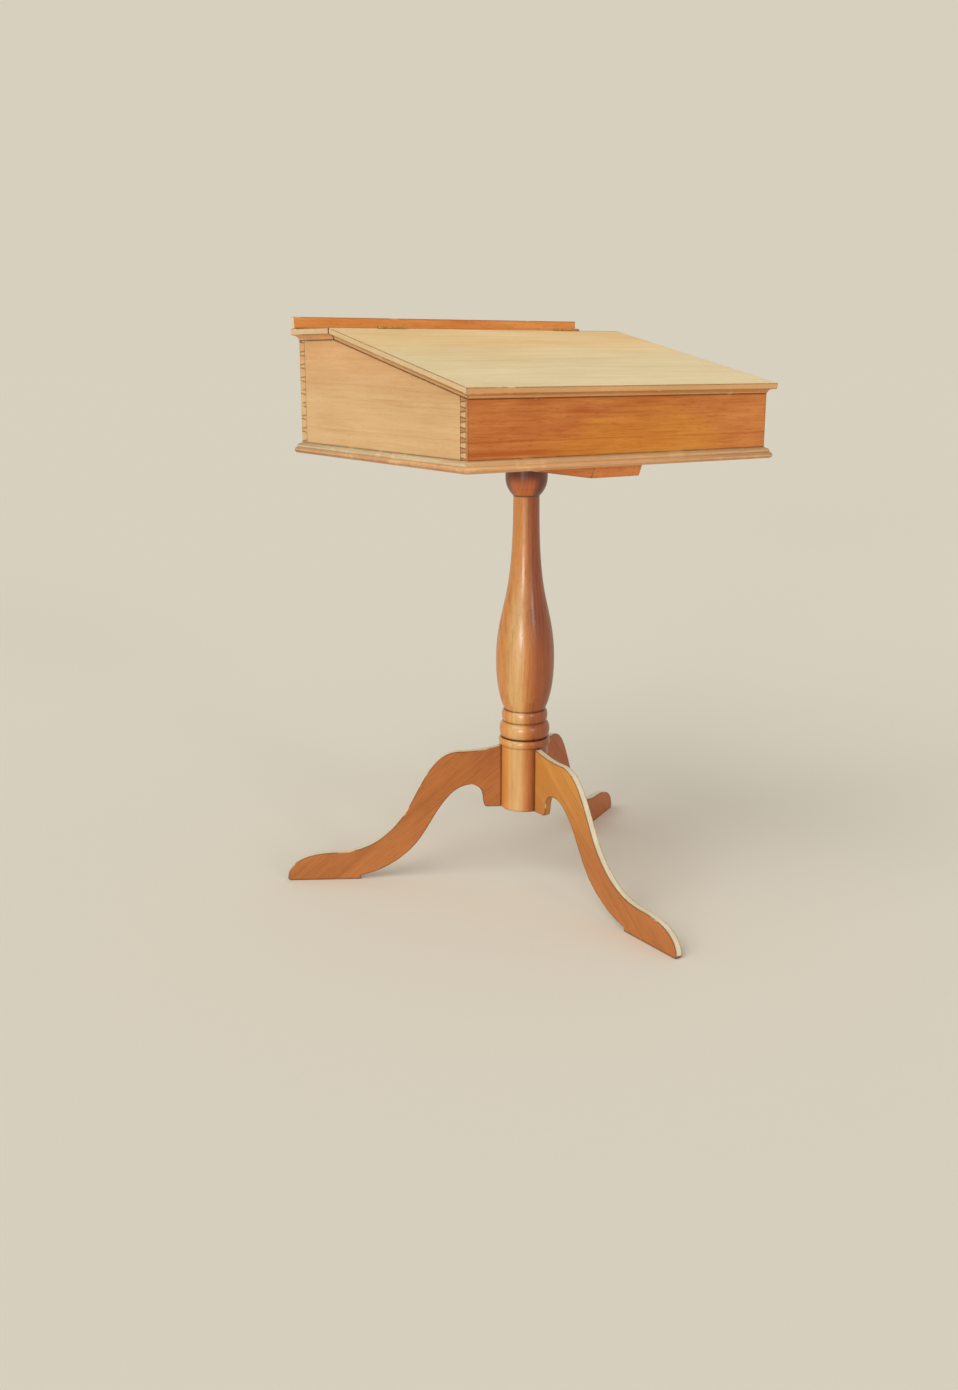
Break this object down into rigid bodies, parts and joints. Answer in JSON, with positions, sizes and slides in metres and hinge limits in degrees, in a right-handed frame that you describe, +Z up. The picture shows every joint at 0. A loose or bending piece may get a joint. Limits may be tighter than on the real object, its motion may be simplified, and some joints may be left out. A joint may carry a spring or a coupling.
{
  "type": "school desk",
  "caption": "Slant-lid school desk: a dovetailed box with a hinged lid and a low gallery rail, on a turned pillar with a tripod of sawn cabriole legs.",
  "frame": {"origin": "on the floor, on the pillar's axis", "axes": "+Z up, -Y the way the front board and the lowest edge of the lid face, X along the hinge"},
  "size_m": [0.6182, 0.5825, 0.8165],
  "materials": {
    "pillar_wood": "satin, turned, orange brown",
    "leg_wood": "satin, orange brown",
    "side_wood": "satin, pale tan",
    "front_wood": "satin, orange brown",
    "moulding_wood": "satin, tan",
    "rail_wood": "satin, orange",
    "lid_wood": "satin, pale yellow",
    "brass": "aged",
    "iron": "dull"
  },
  "bodies": {
    "desk": {"pillar": "pillar_wood", "pillar_wedge": "side_wood", "leg_front": "leg_wood", "leg_left": "leg_wood", "leg_right": "leg_wood", "cleat": "leg_wood", "cleat_screws": "iron", "bottom_board": "moulding_wood", "bottom_nails": "iron", "front_board": "front_wood", "back_board": "side_wood", "left_side": "side_wood", "right_side": "side_wood", "ledge": "moulding_wood", "ledge_nails": "iron", "gallery_rail": "rail_wood", "gallery_brads": "iron", "ledge_leaf_left": "brass", "ledge_leaf_right": "brass", "hinge_pin_left": "brass", "hinge_pin_right": "brass", "ledge_leaf_screws": "brass"},
    "lid": {"lid": "lid_wood", "lid_leaf_left": "brass", "lid_leaf_right": "brass", "lid_leaf_screws": "brass"}
  },
  "joints": [
    {"name": "lid_hinge", "type": "hinge", "parent": "desk", "child": "lid", "pos_m": [0, 0.1125, 0.8003], "axis": [-1, 0, 0], "range_deg": [0, 183]}
  ]
}
